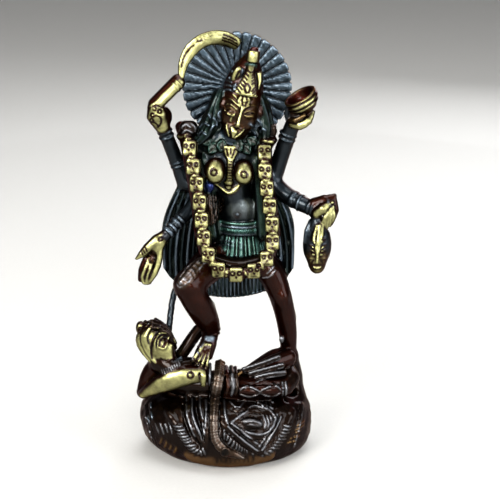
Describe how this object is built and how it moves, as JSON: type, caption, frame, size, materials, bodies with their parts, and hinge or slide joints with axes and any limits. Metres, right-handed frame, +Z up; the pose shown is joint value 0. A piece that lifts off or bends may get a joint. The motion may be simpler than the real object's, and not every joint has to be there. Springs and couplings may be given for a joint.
{
  "type": "kali figure",
  "caption": "Cast brass figure of a four-armed goddess who stands on a lying figure on a low round mound, with a rayed halo behind the head.",
  "frame": {"origin": "middle of the flat underside of the mound, at the level of the surface that it stands on", "axes": "+Z up, -Y towards the front of the figure, +X towards the side of the raised bowl and the severed head"},
  "size_m": [0.0939, 0.0639, 0.2019],
  "materials": {
    "patinated_brass": "antique cast brass: raised forms polished to bright yellow, hair, skirt and halo patinated blue-black and green, limbs and mound dark brown, glossy lacquer"
  },
  "bodies": {
    "root": {"kali_figure": "patinated_brass"}
  },
  "joints": []
}
